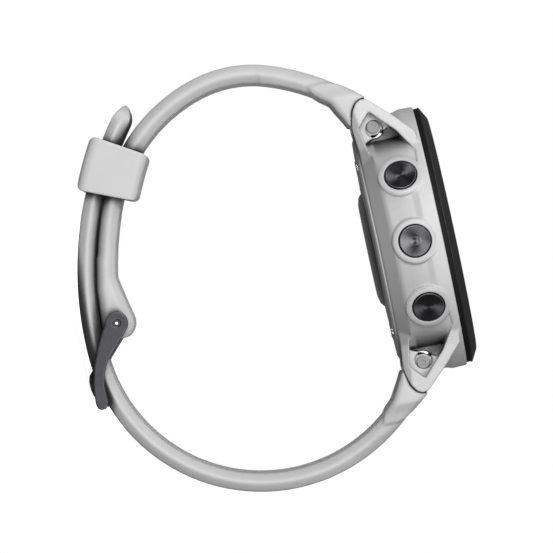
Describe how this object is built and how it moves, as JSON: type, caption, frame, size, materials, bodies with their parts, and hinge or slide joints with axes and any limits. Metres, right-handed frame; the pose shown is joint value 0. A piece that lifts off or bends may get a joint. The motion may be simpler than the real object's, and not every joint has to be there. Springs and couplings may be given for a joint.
{
  "type": "gps running watch",
  "caption": "Round sports watch with a light grey case, dark bezel, side push buttons and a buckled silicone strap closed in a wrist-sized loop.",
  "frame": {"origin": "centre of the optical sensor's outermost flat face on the case back, where the watch rests on the wrist", "axes": "+Z out of the display, +Y towards 12 o'clock, +X towards 3 o'clock; the strap loop hangs towards -Z"},
  "size_m": [0.045, 0.0715, 0.0652],
  "materials": {
    "case_polymer": "fine satin moulding",
    "back_polymer": "satin",
    "seal_rubber": "matte",
    "screw_steel": "satin",
    "bezel_polymer": "fine matte moulding",
    "gasket_black": "matte",
    "lens_glass": "polished",
    "adhesive_black": "matte",
    "display_cell": "dark reflective cell",
    "diffuser_white": "diffusing",
    "frame_plastic": "matte",
    "board_green": "solder mask",
    "shield_metal": "tinned",
    "battery_foil": "foil wrap",
    "antenna_copper": "plated",
    "motor_steel": "satin",
    "piezo_brass": "satin",
    "sensor_window": "polished",
    "led_clear": "clear",
    "socket_black": "satin",
    "contact_gold": "gold plated",
    "rim_metal": "polished",
    "bushing_steel": "turned",
    "switch_metal": "satin",
    "button_metal": "dark anodised, turned face",
    "spring_steel": "wire",
    "clip_steel": "stamped",
    "strap_silicone": "soft satin silicone",
    "bar_steel": "drawn",
    "screw_dark": "satin",
    "buckle_metal": "dark satin coating",
    "pin_steel": "bright end"
  },
  "bodies": {
    "case": {"case_shell": "case_polymer", "case_back": "back_polymer", "back_gasket": "seal_rubber", "back_screws": "screw_steel", "bezel": "bezel_polymer", "bezel_gasket": "gasket_black", "display_lens": "lens_glass", "lens_adhesive": "adhesive_black", "display_panel": "display_cell", "backlight_plate": "diffuser_white", "inner_frame": "frame_plastic", "main_board": "board_green", "board_shields": "shield_metal", "battery": "battery_foil", "antenna_ring": "antenna_copper", "vibration_motor": "motor_steel", "piezo_sounder": "piezo_brass", "sensor_lens": "sensor_window", "sensor_board": "board_green", "sensor_leds": "led_clear", "charging_socket": "socket_black", "charging_contacts": "contact_gold", "button_rims": "rim_metal", "button_bushings": "bushing_steel", "button_seals": "seal_rubber", "button_switches": "switch_metal", "light_spring": "spring_steel", "up_spring": "spring_steel", "down_spring": "spring_steel", "start_spring": "spring_steel", "back_spring": "spring_steel", "strap_upper": "strap_silicone", "strap_tail": "strap_silicone", "strap_bars": "bar_steel", "bar_screws": "screw_dark"},
    "light_push": {"light_button": "button_metal", "light_clip": "clip_steel"},
    "up_push": {"up_button": "button_metal", "up_clip": "clip_steel"},
    "down_push": {"down_button": "button_metal", "down_clip": "clip_steel"},
    "start_push": {"start_button": "button_metal", "start_clip": "clip_steel"},
    "back_push": {"back_button": "button_metal", "back_clip": "clip_steel"},
    "strap_keeper": {"keeper": "strap_silicone"},
    "buckle": {"buckle_frame": "buckle_metal", "buckle_pin": "pin_steel"},
    "tongue": {"buckle_tongue": "buckle_metal"}
  },
  "joints": [
    {"name": "light_press", "type": "slide", "parent": "case", "child": "light_push", "axis": [0.866, -0.5, 0], "range_m": [0, 0.0005], "stiffness_N_per_m": 2000, "springref_m": -0.0003, "deforming": ["light_spring"]},
    {"name": "up_press", "type": "slide", "parent": "case", "child": "up_push", "axis": [1, 0, 0], "range_m": [0, 0.0005], "stiffness_N_per_m": 2000, "springref_m": -0.0003, "deforming": ["up_spring"]},
    {"name": "down_press", "type": "slide", "parent": "case", "child": "down_push", "axis": [0.866, 0.5, 0], "range_m": [0, 0.0005], "stiffness_N_per_m": 2000, "springref_m": -0.0003, "deforming": ["down_spring"]},
    {"name": "start_press", "type": "slide", "parent": "case", "child": "start_push", "axis": [-0.866, -0.5, 0], "range_m": [0, 0.0005], "stiffness_N_per_m": 2000, "springref_m": -0.0003, "deforming": ["start_spring"]},
    {"name": "back_press", "type": "slide", "parent": "case", "child": "back_push", "axis": [-0.866, 0.5, 0], "range_m": [0, 0.0005], "stiffness_N_per_m": 2000, "springref_m": -0.0003, "deforming": ["back_spring"]},
    {"name": "keeper_slide", "type": "hinge", "parent": "case", "child": "strap_keeper", "pos_m": [0, -0.0059, 0.0158], "axis": [-1, 0, 0], "range_deg": [0, 13]},
    {"name": "buckle_tilt", "type": "hinge", "parent": "case", "child": "buckle", "pos_m": [0, -0.003, -0.0438], "axis": [1, 0, 0], "range_deg": [0, 4]},
    {"name": "tongue_lift", "type": "hinge", "parent": "buckle", "child": "tongue", "pos_m": [0, -0.003, -0.0438], "axis": [1, 0, 0], "range_deg": [0, 4]}
  ]
}
